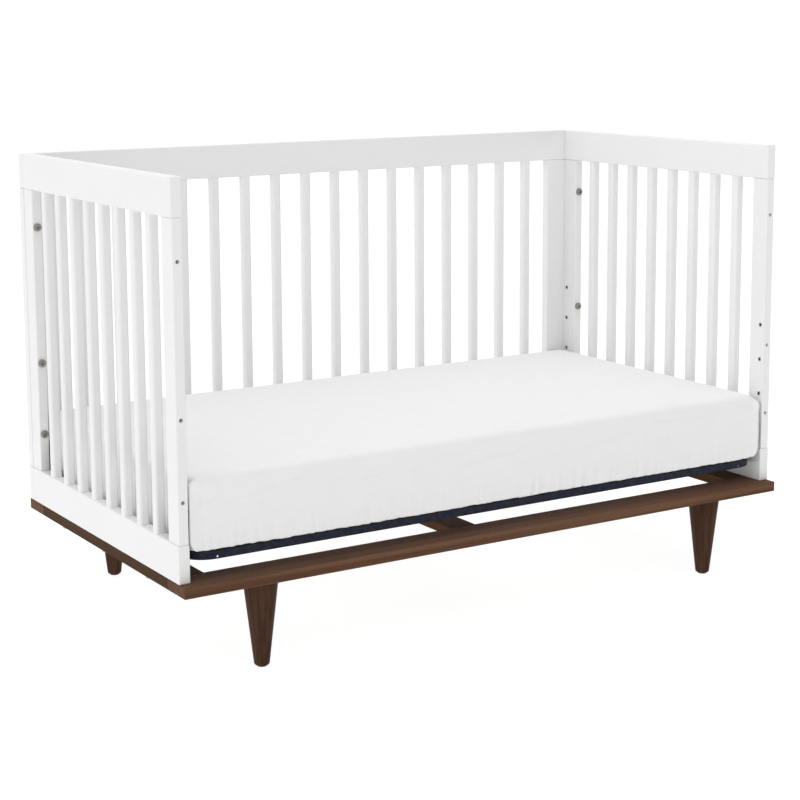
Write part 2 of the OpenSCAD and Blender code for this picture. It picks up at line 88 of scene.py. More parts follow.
def apply(obj, kind, **values):
    """Adds one modifier and applies it."""
    only(obj)
    modifier = obj.modifiers.new(kind.lower(), kind)
    for key, value in values.items():
        setattr(modifier, key, value)
    bpy.ops.object.modifier_apply(modifier=modifier.name)


def smooth(obj, angle=40):
    """Smooth rounded edges beside flat faces."""
    only(obj)
    bpy.ops.object.shade_smooth_by_angle(angle=math.radians(angle))
    apply(obj, "WEIGHTED_NORMAL", keep_sharp=True, weight=60)


def mark_plank(obj):
    """Gives each separate plank its own stretch of grain: a number up to 10, made from its name."""
    number = sum(ord(letter) * (k + 3) for k, letter in enumerate(obj.name)) % PLANKS
    plank = obj.data.attributes.new("plank", "FLOAT", "POINT")
    plank.data.foreach_set("value", [number / (PLANKS / 10)] * len(obj.data.vertices))


def timber(name, low, high, ease, steps=3):
    """A sawn board with every edge eased, between two corners."""
    only(None)
    bpy.ops.mesh.primitive_cube_add(size=1, location=(low + high) / 2)
    board = bpy.context.object
    board.name = board.data.name = name
    board.scale = high - low
    settle(board)
    bpy.ops.object.mode_set(mode="EDIT")
    bpy.ops.mesh.select_all(action="SELECT")
    bpy.ops.mesh.bevel(offset=ease, segments=steps, affect="EDGES")
    bpy.ops.object.mode_set(mode="OBJECT")
    mark_plank(board)
    return board


def finish_piece(obj, body, nodes, slot, *materials):
    """Materials, the CAD nodes it stands for, its finish slot (not used) and the body that it rides on."""
    obj.data.materials.clear()
    for material in materials:
        obj.data.materials.append(material)
    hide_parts(*nodes)
    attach(obj, body)


class Nodes:
    """A short way to write a node tree down: one call a node, with its links as inputs."""

    def __init__(self, tree):
        self.tree = tree

    def add(self, kind, inputs=None, **settings):
        node = self.tree.nodes.new(kind)
        for key, value in settings.items():
            setattr(node, key, value)
        for key, value in (inputs or {}).items():
            if isinstance(value, bpy.types.NodeSocket):
                self.link(value, node.inputs[key])
            else:
                node.inputs[key].default_value = value
        return node

    def math(self, operation, a, b=0.0, clamp=False):
        return self.add("ShaderNodeMath", {0: a, 1: b}, operation=operation, use_clamp=clamp).outputs[0]

    def mix(self, factor, a, b, blend="MIX"):
        node = self.add("ShaderNodeMix", {0: factor}, data_type="RGBA", blend_type=blend)
        for index, value in ((6, a), (7, b)):
            if isinstance(value, bpy.types.NodeSocket):
                self.link(value, node.inputs[index])
            else:
                node.inputs[index].default_value = (*value, 1.0)
        return node.outputs[2]

    def ramp(self, factor, low, high, low_value=0.0, high_value=1.0):
        inputs = {0: factor, 1: low, 2: high, 3: low_value, 4: high_value}
        return self.add("ShaderNodeMapRange", inputs).outputs[0]

    def mottle(self, place, scale, detail=2.0, **more):
        """Soft noise; scale is its number of waves in a metre."""
        inputs = {"Vector": place, "Scale": scale, "Detail": detail, **more}
        return self.add("ShaderNodeTexNoise", inputs).outputs["Fac"]

    def stretched(self, place, scale):
        return self.add("ShaderNodeMapping", {0: place, "Scale": scale}).outputs[0]

    def object_place(self):
        return self.add("ShaderNodeTexCoord").outputs["Object"]

    def link(self, source, target):
        self.tree.links.new(source, target)

    def relief(self, shader, strength, depth, height):
        bump = self.add("ShaderNodeBump", {"Strength": strength, "Distance": depth, "Height": height})
        self.link(bump.outputs[0], shader.inputs["Normal"])


def new_group(name, inputs, outputs):
    """A shader node group with named number, vector or colour sockets."""
    tree = bpy.data.node_groups.new(name, "ShaderNodeTree")
    kinds = {"number": "NodeSocketFloat", "vector": "NodeSocketVector", "colour": "NodeSocketColor"}
    for side, sockets in (("INPUT", inputs), ("OUTPUT", outputs)):
        for label, kind, value in sockets:
            socket = tree.interface.new_socket(name=label, in_out=side, socket_type=kinds[kind])
            if value is not None:
                socket.default_value = value
    n = Nodes(tree)
    return tree, n, n.add("NodeGroupInput").outputs, n.add("NodeGroupOutput")


def new_material(name, roughness, **uniform):
    """A material with one Principled shader; uniform values go straight on its sockets."""
    material = bpy.data.materials.new(name)
    material.use_nodes = True
    n = Nodes(material.node_tree)
    shader = material.node_tree.nodes["Principled BSDF"]
    shader.inputs["Roughness"].default_value = roughness
    for key, value in uniform.items():
        shader.inputs[key.replace("_", " ")].default_value = value
    return material, n, shader


# Waves in a metre along and across the grain, for each layer of the wood's figure
WANDER, BANDS, FIBRES, PORES = (1.3, 9, 9), (1.1, 75, 75), (14, 700, 700), (60, 1500, 1500)


def build_grain_group():
    """Straight-grained wood: long fibres, darker growth bands, open pores. The grain runs along X."""
    tree, n, given, out = new_group(
        "wood_grain",
        [("Vector", "vector", None), ("Plank", "number", 0.0)],
        [("Tone", "number", None), ("Pores", "number", None), ("Height", "number", None)])
    shift = n.add("ShaderNodeCombineXYZ", {0: n.math("MULTIPLY", given["Plank"], 3.7), 1: given["Plank"],
                                           2: n.math("MULTIPLY", given["Plank"], 0.31)}).outputs[0]
    place = n.add("ShaderNodeVectorMath", {0: given["Vector"], 1: shift}, operation="ADD").outputs[0]
    wander = n.mottle(n.stretched(place, WANDER), 1.0)
    bands = n.mottle(n.stretched(place, BANDS), 1.0, 4.0, Roughness=0.6,
                     Distortion=n.math("MULTIPLY", wander, 1.4))
    fibres = n.mottle(n.stretched(place, FIBRES), 1.0, 3.0, Roughness=0.65)
    pores = n.ramp(n.mottle(n.stretched(place, PORES), 1.0, 1.0), 0.62, 0.74)
    tone = n.math("ADD", n.math("MULTIPLY", n.ramp(bands, 0.3, 0.7), 0.62),
                  n.math("ADD", n.math("MULTIPLY", fibres, 0.28), n.math("MULTIPLY", wander, 0.22)))
    n.link(tone, out.inputs["Tone"])
    n.link(pores, out.inputs["Pores"])
    height = n.math("SUBTRACT", n.math("MULTIPLY", fibres, 0.5), n.math("MULTIPLY", pores, 0.5))
    n.link(height, out.inputs["Height"])
    return tree


def build_wear_group():
    """A handled edge: 1 where a surface turns outwards sharply, broken up by a little noise."""
    tree, n, given, out = new_group(
        "edge_wear", [("Vector", "vector", None)], [("Edge", "number", None)])
    pointed = n.ramp(n.add("ShaderNodeNewGeometry").outputs["Pointiness"], 0.52, 0.62)
    broken = n.ramp(n.mottle(given["Vector"], 90.0, 3.0), 0.35, 0.7)
    n.link(n.math("MULTIPLY", pointed, broken, clamp=True), out.inputs["Edge"])
    return tree


wood_grain = build_grain_group()
edge_wear = build_wear_group()
ALONG = {"x": (0, 0, 0), "y": (0, 0, -math.pi / 2), "z": (0, math.pi / 2, 0)}


def grain_of(n, axis):
    """The wood_grain and edge_wear groups set for a plank that runs along one axis."""
    where = n.object_place()
    turned = n.add("ShaderNodeMapping", {0: where, "Rotation": ALONG[axis]}).outputs[0]
    plank = n.add("ShaderNodeAttribute", attribute_name="plank").outputs["Fac"]
    grain = n.add("ShaderNodeGroup", {"Vector": turned, "Plank": plank}, node_tree=wood_grain)
    wear = n.add("ShaderNodeGroup", {"Vector": where}, node_tree=edge_wear)
    return where, grain.outputs, wear.outputs["Edge"]


def stained_wood(name, axis, dark, middle, light, roughness=0.42):
    """Stain and satin lacquer: grain shows in colour, gloss and a shallow relief."""
    material, n, shader = new_material(name, roughness, Specular_IOR_Level=0.04)
    _, grain, edge = grain_of(n, axis)
    colour = n.mix(n.ramp(grain["Tone"], 0.25, 0.62), dark, middle)
    colour = n.mix(n.ramp(grain["Tone"], 0.55, 0.95), colour, light)
    colour = n.mix(n.math("MULTIPLY", grain["Pores"], 0.55), colour, tuple(c * 0.45 for c in dark))
    colour = n.mix(n.math("MULTIPLY", edge, 0.35), colour, light)
    n.link(colour, shader.inputs["Base Color"])
    gloss = n.math("ADD", n.math("MULTIPLY", grain["Tone"], 0.1), roughness - 0.05)
    gloss = n.math("ADD", gloss, n.math("MULTIPLY", grain["Pores"], 0.2))
    n.link(gloss, shader.inputs["Roughness"])
    n.relief(shader, 0.25, 0.0004, grain["Height"])
    return material


def end_grain(name, dark, middle):
    """A plank's sawn end: short curved growth rings, darker because the stain soaks in."""
    material, n, shader = new_material(name, 0.6, Specular_IOR_Level=0.12)
    where = n.object_place()
    rings = n.add("ShaderNodeTexWave", {"Vector": n.stretched(where, (1, 22, 60)), "Scale": 3.0,
                                        "Distortion": 3.0, "Detail": 3.0}, wave_type="RINGS").outputs["Fac"]
    specks = n.ramp(n.mottle(where, 900.0), 0.6, 0.7, 0, 0.5)
    colour = n.mix(n.math("MULTIPLY", rings, 0.7), dark, middle)
    n.link(n.mix(specks, colour, tuple(c * 0.4 for c in dark)), shader.inputs["Base Color"])
    n.relief(shader, 0.3, 0.0003, rings)
    return material


board_end = end_grain("walnut_end_grain", *BOARD_TONES["y"][:2])
board_finish = {axis: stained_wood("walnut_along_" + axis, axis, *BOARD_TONES[axis], roughness=0.5)
                for axis in "xy"}
for node, axis in (("base_front_board", "x"), ("base_rear_board", "x"), ("base_left_board", "y"),
                   ("base_right_board", "y"), ("base_cross_board", "y")):
    board = timber("board_" + node[5:-6], *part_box(node), BOARD_EASE)
    along = "xyz".index(axis)
    for face in board.data.polygons:
        face.material_index = 1 if abs(face.normal[along]) > 0.9 else 0
    smooth(board)
    finish_piece(board, "crib", [node], "walnut_board", board_finish[axis], board_end)

# ---------------------------------------------------------------------------------------------
# Legs. Solid hardwood turned on a lathe to a straight taper with a rounded foot, stained darker
# than the base. Each screws into the base on a hanger bolt and stands on a nylon glide.
# ---------------------------------------------------------------------------------------------
LEG_SIDES = 64
LEG_STRETCHES = 8
LEG_TOP_EASE = 0.0008
FOOT_RADIUS = 0.014
FOOT_ROUND = 0.005
LEG_TONES = ((0.036, 0.016, 0.009), (0.060, 0.030, 0.018), (0.082, 0.042, 0.024))


def turned_leg(name, node):
    """A straight taper between a rounded foot and an eased top."""
    low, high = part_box(node)
    middle, height = (low + high) / 2, high.z - low.z
    only(None)
    bpy.ops.mesh.primitive_cone_add(vertices=LEG_SIDES, radius1=FOOT_RADIUS, radius2=(high.x - low.x) / 2,
                                    depth=height, location=middle)
    leg = bpy.context.object
    leg.name = leg.data.name = name
    settle(leg)
    bpy.ops.object.mode_set(mode="EDIT")
    for at, ease, steps in ((low.z, FOOT_ROUND, 6), (high.z, LEG_TOP_EASE, 2)):
        pick(leg, "EDGE", lambda edge: all(abs(vertex.co.z - at) < 1e-5 for vertex in edge.verts))
        bpy.ops.mesh.bevel(offset=ease, segments=steps, affect="EDGES")
    # Rings up the flank keep its facets short
    for ring in range(1, LEG_STRETCHES):
        bpy.ops.mesh.select_all(action="SELECT")
        at = low.z + FOOT_ROUND + (height - FOOT_ROUND - LEG_TOP_EASE) * ring / LEG_STRETCHES
        bpy.ops.mesh.bisect(plane_co=(0, 0, at), plane_no=(0, 0, 1))
    bpy.ops.object.mode_set(mode="OBJECT")
    mark_plank(leg)
    return leg


leg_finish = stained_wood("dark_walnut_leg", "z", *LEG_TONES, roughness=0.42)
for corner in ("front_left", "front_right", "rear_left", "rear_right"):
    leg = turned_leg("turned_leg_" + corner, "leg_" + corner)
    smooth(leg, 50)
    finish_piece(leg, "crib", ["leg_" + corner], "walnut_leg", leg_finish)

# ---------------------------------------------------------------------------------------------
# Panels' rails, posts and stiles. Hardwood machined square, edges rounded over, primed and
# sprayed with white satin lacquer. Rails cap the posts and stand a little proud of them.
# ---------------------------------------------------------------------------------------------
RAIL_ROUND = 0.0024
POST_ROUND = 0.0018
PAINT = (0.815, 0.816, 0.813)
PAINT_SHADE = (0.775, 0.777, 0.776)
LEVELS = 4
HOLE_SIDES = 32


def sprayed_paint(name, axis):
    """White lacquer over fine grain: a faint relief along the wood, orange peel, and sharp edges made
    slightly lighter.
    """
    material, n, shader = new_material(name, 0.42, Specular_IOR_Level=0.3)
    where, grain, edge = grain_of(n, axis)
    clouds = n.mottle(where, 6.0, 3.0)
    peel = n.mottle(where, 700.0)
    colour = n.mix(n.math("MULTIPLY", n.ramp(clouds, 0.35, 0.7), 0.35), PAINT, PAINT_SHADE)
    colour = n.mix(n.math("MULTIPLY", n.ramp(grain["Tone"], 0.3, 0.9), 0.10), colour, PAINT_SHADE)
    # Sharp outward edges are made slightly lighter than the paint
    colour = n.mix(n.math("MULTIPLY", edge, 0.25), colour, tuple(c * 1.05 for c in PAINT))
    n.link(colour, shader.inputs["Base Color"])
    n.link(n.ramp(clouds, 0.3, 0.7, 0.36, 0.46), shader.inputs["Roughness"])
    height = n.math("ADD", n.math("MULTIPLY", grain["Height"], 0.6), n.math("MULTIPLY", peel, 0.35))
    n.relief(shader, 0.07, 0.0003, height)
    return material


def drill(obj, centre, axis, diameter, length):
    """Cuts one round hole through a piece."""
    only(None)
    turn = {"x": (0, math.pi / 2, 0), "y": (math.pi / 2, 0, 0)}[axis]
    bpy.ops.mesh.primitive_cylinder_add(
        vertices=HOLE_SIDES, radius=diameter / 2, depth=length, location=centre, rotation=turn)
    drill_bit = bpy.context.object
    apply(obj, "BOOLEAN", object=drill_bit, operation="DIFFERENCE", solver="EXACT")
    bpy.data.objects.remove(drill_bit)


paint = {axis: sprayed_paint("white_lacquer_along_" + axis, axis) for axis in "xyz"}
for panel, axis in (("left", "y"), ("right", "y"), ("back", "x")):
    for rail in ("top", "bottom"):
        node = f"{panel}_{rail}_rail"
        piece = timber(node + "_painted", *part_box(node), RAIL_ROUND, 4)
        smooth(piece)
        finish_piece(piece, "crib", [node], "white_paint", paint[axis])

# The panel bolts' holes go right through each post, and the inserts' holes into its inner face
PANEL_HOLE, PANEL_DRILL = 0.0075, 0.1
HEIGHT_HOLE, HEIGHT_DRILL = 0.0102, 0.026
HEAD_RADIUS, INSERT_RADIUS = 0.008, 0.005
MIDDLE_BOLT_RISE = 0.147
# The holes' walls are coloured nearly black: painted shade deep inside the holes
hole_painted_shade = end_grain("drilled_hole_wall", (0.030, 0.024, 0.020), (0.050, 0.040, 0.032))
bolt_low, bolt_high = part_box("panel_bolts")
insert_low, insert_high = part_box("height_inserts")
lowest_bolt = bolt_low.z + HEAD_RADIUS
bolt_heights = [lowest_bolt, lowest_bolt + MIDDLE_BOLT_RISE, bolt_high.z - HEAD_RADIUS]
levels_apart = (insert_high.z - insert_low.z - 2 * INSERT_RADIUS) / (LEVELS - 1)
level_heights = [insert_low.z + INSERT_RADIUS + levels_apart * k for k in range(LEVELS)]
for side in ("left", "right"):
    for end in ("front", "rear"):
        node = f"{side}_{end}_post"
        low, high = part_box(node)
        piece = timber(node + "_painted", low, high, POST_ROUND, 4)
        middle = (low + high) / 2
        for height in bolt_heights:
            drill(piece, (middle.x, middle.y, height), "y", PANEL_HOLE, PANEL_DRILL)
        inner = high.x if side == "left" else low.x
        y = insert_low.y + INSERT_RADIUS if end == "front" else insert_high.y - INSERT_RADIUS
        for height in level_heights:
            drill(piece, (inner, y, height), "x", HEIGHT_HOLE, HEIGHT_DRILL)
        # Faces inside the holes take the nearly black painted shade
        for face in piece.data.polygons:
            inside = min(min(face.center[k] - low[k], high[k] - face.center[k]) for k in range(3))
            face.material_index = 1 if inside > POST_ROUND else 0
        smooth(piece)
        finish_piece(piece, "crib", [node], "white_paint", paint["z"], hole_painted_shade)
    node = f"back_{side}_stile"
    piece = timber(node + "_painted", *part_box(node), POST_ROUND, 4)
    smooth(piece)
    finish_piece(piece, "crib", [node], "white_paint", paint["z"])

# ---------------------------------------------------------------------------------------------
# Slats. Square hardwood sticks with well-rounded corners, run through a moulder and sprayed
# white. Their ends sit in mortises in the rails.
# ---------------------------------------------------------------------------------------------
SLAT_ROUND = 0.005
SLAT_WIDE = 0.0195


def slat_row(name, node, count, axis):
    """One stick, moulded once and then copied along the row."""
    low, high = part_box(node)
    along = "xyz".index(axis)
    size = high - low
    run = size[along] - SLAT_WIDE
    size[along] = SLAT_WIDE
    sticks = []
    for k in range(count):
        centre = (low + high) / 2
        centre[along] += run * (k / (count - 1) - 0.5)
        if k == 0:
            only(None)
            bpy.ops.mesh.primitive_cube_add(size=1, location=centre)
            stick = bpy.context.object
            stick.scale = size
            settle(stick)
            bpy.ops.object.mode_set(mode="EDIT")
            pick(stick, "EDGE", upright)
            bpy.ops.mesh.bevel(offset=SLAT_ROUND, segments=6, affect="EDGES")
            bpy.ops.object.mode_set(mode="OBJECT")
            first_centre = centre.copy()
        else:
            stick = sticks[0].copy()
            stick.data = sticks[0].data.copy()
            bpy.context.collection.objects.link(stick)
            stick.location = centre - first_centre
            settle(stick)
        stick.name = f"{name}_{k + 1}"
        sticks.append(stick)
    for stick in sticks:
        mark_plank(stick)
    only(sticks[0])
    for stick in sticks:
        stick.select_set(True)
    bpy.ops.object.join()
    row = bpy.context.object
    row.name = row.data.name = name
    return row


for name, node, count, axis in (("left_slats_painted", "left_slats", 8, "y"),
                                ("right_slats_painted", "right_slats", 8, "y"),
                                ("back_slats_painted", "back_slats_row", 16, "x")):
    row = slat_row(name, node, count, axis)
    smooth(row)
    finish_piece(row, "crib", [node], "white_paint", paint["z"])

# ---------------------------------------------------------------------------------------------
# Bolts, inserts, dowels and glides. Zinc-plated socket bolts with low domed heads, brass inserts
# pressed into the wood, beech dowels and nylon glides.
# ---------------------------------------------------------------------------------------------
FLECKS = 500.0
NYLON_GRAIN = 1600.0
SOCKET, SOCKET_DEEP = 0.0031, 0.006
HEAD_EASE = 0.0014
SHARP = 1.0


def metal(name, colour, roughness):
    """Plated or bare metal with fine turning marks and handling smudges."""
    material, n, shader = new_material(name, roughness, Metallic=1.0)
    where = n.object_place()
    fine = n.mottle(where, FLECKS, 4.0)
    smudge = n.ramp(n.mottle(where, 60.0), 0.3, 0.7, roughness - 0.06, roughness + 0.1)
    tint = n.mix(n.ramp(fine, 0.3, 0.7, 0, 0.5), colour, tuple(c * 0.8 for c in colour))
    n.link(tint, shader.inputs["Base Color"])
    n.link(smudge, shader.inputs["Roughness"])
    n.relief(shader, 0.15, 0.0002, fine)
    return material


def plastic(name, colour, roughness):
    """Moulded nylon with a fine spark-eroded grain."""
    material, n, shader = new_material(name, roughness)
    cells = {"Vector": n.object_place(), "Scale": NYLON_GRAIN}
    grain = n.add("ShaderNodeTexVoronoi", cells).outputs["Distance"]
    tint = n.mix(n.ramp(grain, 0.1, 0.6, 0, 0.4), colour, tuple(c * 0.75 for c in colour))
    n.link(tint, shader.inputs["Base Color"])
    n.relief(shader, 0.2, 0.0002, grain)
    return material


def coat(node, material):
    """Gives a finish to a piece that is shown just as the CAD model has it."""
    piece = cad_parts[node]
    piece.data.materials.clear()
    piece.data.materials.append(material)


zinc = metal("zinc_plate", (0.60, 0.60, 0.585), 0.34)
black_oxide = metal("black_oxide", (0.055, 0.055, 0.06), 0.42)
brass = metal("brass", (0.66, 0.52, 0.27), 0.3)
nylon = plastic("dark_nylon", (0.05, 0.043, 0.038), 0.6)
beech = stained_wood("bare_beech", "z", (0.50, 0.34, 0.20), (0.62, 0.45, 0.28), (0.70, 0.54, 0.36), 0.6)
bolt_steel = metal("bolt_steel", (0.34, 0.325, 0.30), 0.4)
# The panel bolts' heads are eased at the rim and have a hexagon socket each
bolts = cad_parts["panel_bolts"].copy()
bolts.data = bolts.data.copy()
bpy.context.collection.objects.link(bolts)
bolts.name = bolts.data.name = "panel_bolts_socketed"
only(bolts)
bpy.ops.object.mode_set(mode="EDIT")
bpy.ops.mesh.select_all(action="SELECT")
bpy.ops.mesh.remove_doubles(threshold=1e-6)
bpy.ops.mesh.normals_make_consistent(inside=False)
pick(bolts, "EDGE", lambda edge: len(edge.link_faces) == 2 and edge.calc_face_angle() > SHARP
     and all(abs(vertex.co.y - bolt_low.y) < 1e-6 for vertex in edge.verts))
bpy.ops.mesh.bevel(offset=HEAD_EASE, segments=3, affect="EDGES")
bpy.ops.object.mode_set(mode="OBJECT")
keys = []
for x in (bolt_low.x + HEAD_RADIUS, bolt_high.x - HEAD_RADIUS):
    for z in bolt_heights:
        only(None)
        bpy.ops.mesh.primitive_cylinder_add(vertices=6, radius=SOCKET, depth=SOCKET_DEEP,
                                            location=(x, bolt_low.y, z), rotation=(math.pi / 2, 0, 0))
        keys.append(bpy.context.object)
for key in keys:
    key.select_set(True)
bpy.ops.object.join()
keys = bpy.context.object
apply(bolts, "BOOLEAN", object=keys, operation="DIFFERENCE", solver="EXACT")
bpy.data.objects.remove(keys)
smooth(bolts, 35)
finish_piece(bolts, "crib", ["panel_bolts"], "zinc_steel", bolt_steel)
for node, material in (("panel_inserts", brass), ("foot_inserts", brass), ("leg_inserts", brass),
                       ("height_inserts", zinc), ("leg_bolts", zinc), ("leg_glides", nylon),
                       ("base_dowels", beech), ("panel_dowels", beech), ("foot_screws", zinc),
                       ("height_bolts", black_oxide)):
    coat(node, material)

# ---------------------------------------------------------------------------------------------
# Mattress support. Bent steel angle bar with hook-on corner brackets, powder coated dark navy,
# with a deck of enamelled wires held in tension by coil springs.
# ---------------------------------------------------------------------------------------------
NAVY = (0.0075, 0.0100, 0.0230)
WIRE_GREY = (0.050, 0.052, 0.066)
RUBBED = (0.08, 0.08, 0.09)


def powder_coat(name, colour, roughness):
    """Baked powder coat: orange peel and a slightly uneven sheen."""
    material, n, shader = new_material(name, roughness, Specular_IOR_Level=0.12)
    where = n.object_place()
    peel = n.mottle(where, 420.0, 3.0)
    broad = n.ramp(n.mottle(where, 14.0), 0.3, 0.7)
    wear = n.add("ShaderNodeGroup", {"Vector": where}, node_tree=edge_wear).outputs["Edge"]
    tint = n.mix(broad, colour, tuple(c * 1.15 for c in colour))
    n.link(n.mix(n.math("MULTIPLY", wear, 0.2), tint, RUBBED), shader.inputs["Base Color"])
    gloss = n.ramp(peel, 0.3, 0.7, roughness - 0.05, roughness + 0.08)
    n.link(gloss, shader.inputs["Roughness"])
    n.relief(shader, 0.08, 0.0003, peel)
    return material


navy = powder_coat("navy_powder_coat", NAVY, 0.42)
wire_enamel = powder_coat("grey_enamel", WIRE_GREY, 0.38)
spring_steel = metal("drawn_spring_wire", (0.42, 0.42, 0.44), 0.3)
for side in ("front", "rear", "left", "right"):
    coat(f"support_{side}_rail", navy)
for corner in ("front_left", "front_right", "rear_left", "rear_right"):
    coat("bracket_" + corner, navy)
for node, material in (("bracket_rivets", zinc), ("deck_long_wires", wire_enamel),
                       ("deck_cross_wires", wire_enamel), ("deck_springs", spring_steel)):
    coat(node, material)

# ---------------------------------------------------------------------------------------------
# Mattress. A foam block with its edges rounded, covered in woven ticking and filled out by cloth
# simulation. It lies loose on the wire deck, a few millimetres clear of the panels.
# ---------------------------------------------------------------------------------------------
CORE_EASE = Vector((0.007, 0.006, 0.0035))
CORE_CORNER = 0.020
CORE_RIM = 0.014
CORE_GRID = 0.010
CORE_SWELL = 0.004
CORE_SPARE = (CORE_EASE.x / 2, CORE_EASE.y / 2, 0.0012)
PRESSURE, STIFFNESS, STEPS = 4.0, 15.0, 20
core_low, core_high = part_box("mattress_core")
sheet_low, sheet_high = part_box("fitted_sheet")


def puff(obj, pressure, stiffness, cap):
    """Fills a padded piece out by cloth simulation, and keeps each point within cap of its start."""
    start = [vertex.co.copy() for vertex in obj.data.vertices]
    only(obj)
    filling = obj.modifiers.new("cloth", "CLOTH")
    filling.settings.use_pressure = True
    filling.settings.uniform_pressure_force = pressure
    filling.settings.tension_stiffness = stiffness
    filling.settings.compression_stiffness = stiffness
    filling.settings.effector_weights.gravity = 0
    for step in range(1, STEPS + 1):
        bpy.context.scene.frame_set(step)
    bpy.ops.object.modifier_apply(modifier=filling.name)
    bpy.context.scene.frame_set(1)
    for vertex, before in zip(obj.data.vertices, start):
        move = vertex.co - before
        if move.length > cap:
            vertex.co = before + move * (cap / move.length)


def build_weave_group():
    """Plain weave seen close: warp and weft threads crossing, with slubs in the yarn."""
    tree, n, given, out = new_group(
        "plain_weave", [("Vector", "vector", None), ("Threads", "number", 2200.0)],
        [("Height", "number", None), ("Slub", "number", None)])
    scaled = n.add("ShaderNodeVectorMath", {0: given["Vector"]}, operation="SCALE")
    n.link(given["Threads"], scaled.inputs["Scale"])
    split = n.add("ShaderNodeSeparateXYZ", {0: scaled.outputs[0]}).outputs
    waves = [n.math("ABSOLUTE", n.math("SINE", split[k])) for k in range(3)]
    height = n.math("MAXIMUM", n.math("MULTIPLY", waves[0], waves[1]), n.math("MULTIPLY", waves[2], 0.8))
    slub = n.mottle(n.stretched(given["Vector"], (30, 600, 600)), 1.0)
    n.link(height, out.inputs["Height"])
    n.link(slub, out.inputs["Slub"])
    return tree


plain_weave = build_weave_group()


def cloth(name, colour, shade, threads, wrinkle):
    """Woven cotton: thread relief, slubs, soft creases, painted shade in the hollows of folds and along the
    creases, and a little sheen.
    """
    material, n, shader = new_material(name, 0.9, Sheen_Weight=0.06, Sheen_Roughness=0.5,
                                       Specular_IOR_Level=0.15)
    where = n.object_place()
    weave = n.add("ShaderNodeGroup", {"Vector": where, "Threads": threads}, node_tree=plain_weave).outputs
    crease = n.mottle(where, 17.0, 6.0, Roughness=0.62, Distortion=1.2)
    # Painted shade: concave places on the mesh are darkened, as if in shadow
    fold_painted_shade = n.ramp(n.add("ShaderNodeNewGeometry").outputs["Pointiness"], 0.497, 0.470, 0, 0.8)
    tone = n.mix(n.math("MULTIPLY", weave["Slub"], 0.4), colour, shade)
    tone = n.mix(fold_painted_shade, tone, tuple(c * 0.86 for c in shade))
    # Painted shade: the colour darkens along the same crease pattern that makes the relief
    n.link(n.mix(n.ramp(crease, 0.4, 0.7, 0, 0.3), tone, shade), shader.inputs["Base Color"])
    fine = n.add("ShaderNodeBump", {"Strength": 0.2, "Distance": 0.0002, "Height": weave["Height"]})
    broad = n.add("ShaderNodeBump", {"Strength": wrinkle, "Distance": 0.003, "Height": crease,
                                     "Normal": fine.outputs[0]})
    n.link(broad.outputs[0], shader.inputs["Normal"])
    return material


only(None)
bpy.ops.mesh.primitive_cube_add(size=1, location=(core_low + core_high) / 2)
core = bpy.context.object
core.name = core.data.name = "mattress"
core.scale = core_high - core_low - 2 * CORE_EASE
settle(core)
bpy.ops.object.mode_set(mode="EDIT")
pick(core, "EDGE", upright)
bpy.ops.mesh.bevel(offset=CORE_CORNER, segments=5, affect="EDGES")
pick(core, "EDGE", lambda edge: abs(edge.verts[0].co.z - edge.verts[1].co.z) < 1e-6)
bpy.ops.mesh.bevel(offset=CORE_RIM, segments=4, affect="EDGES")
bpy.ops.object.mode_set(mode="OBJECT")
apply(core, "REMESH", mode="VOXEL", voxel_size=CORE_GRID, use_smooth_shade=True)
puff(core, PRESSURE, STIFFNESS, CORE_SWELL)
apply(core, "SMOOTH", factor=0.5, iterations=6)
for vertex in core.data.vertices:
    for k in range(3):
        vertex.co[k] = min(max(vertex.co[k], core_low[k] + CORE_SPARE[k]), core_high[k] - CORE_SPARE[k])
only(core)
bpy.ops.object.shade_smooth()
ticking = cloth("woven_ticking", (0.78, 0.78, 0.75), (0.70, 0.70, 0.68), 1400.0, 0.1)
finish_piece(core, "mattress", ["mattress_core"], "mattress_ticking", ticking)

# ---------------------------------------------------------------------------------------------
# Fitted sheet. White cotton percale with a sewn corner at each end of its skirt, pulled down over
# the mattress. Elastic in the hem gathers it underneath and puckers the lower edge.
# ---------------------------------------------------------------------------------------------
SHEET_CELLS = (400, 90)
SKIRT_ROWS, HEM_ROWS = 26, 8
HEM = 0.060
CORNER = 0.020
TOP_RIM, LOW_RIM = 0.017, 0.0045
ELASTIC = 0.0016
LIP_DROP = 0.0022
EAR_REACH = {-1: 0.0078, 1: 0.0045}
EAR_LOW, EAR_HIGH = 0.024, {-1: 0.010, 1: 0.018}
EAR_ANGLE, EAR_SPREAD, EAR_END = 24, 13, 62
EAR_INSET, EAR_LEAST = 0.0009, 0.02
# Shares by which grid lines crowd to the ends and sides, and of skirt rows that are evenly spaced
CROWDED = (0.3, 0.75)
EVEN_ROWS = 0.4
# Height of each set of waves, its waves in a metre along and across, and a seed
ROLLS = ((0.0016, 4.5, 6, 1.3), (0.0008, 16, 26, 4.1), (0.0004, 40, 66, 2.4))
PUCKERS = ((0.0026, 84, 6, 3.1), (0.0008, 150, 9, 5.5))
BELLY = ((0.0012, 2.6, 8, 6.3),)
# The same for the creases, with their slant before the seed
CREASES = ((0.0026, 4.5, 60, 9, 7.7), (0.0012, 9, 130, -12, 3.9))
SIDE_PITCH = 1.7
DRAWN_IN, SHEET_CLEAR = 0.0014, 0.0006
# Stretches over which a shape comes in or fades: the rolls and creases below the top edge, and
# the puckers above the hem
ROLLS_END, ROLLS_EDGE = (0.0, 0.01), (0.0, 0.03)
CREASES_START, CREASES_FADE, CREASES_LOSS = (0.004, 0.02), (0.035, 0.09), 0.75
PUCKERS_END = (0.010, 0.060)
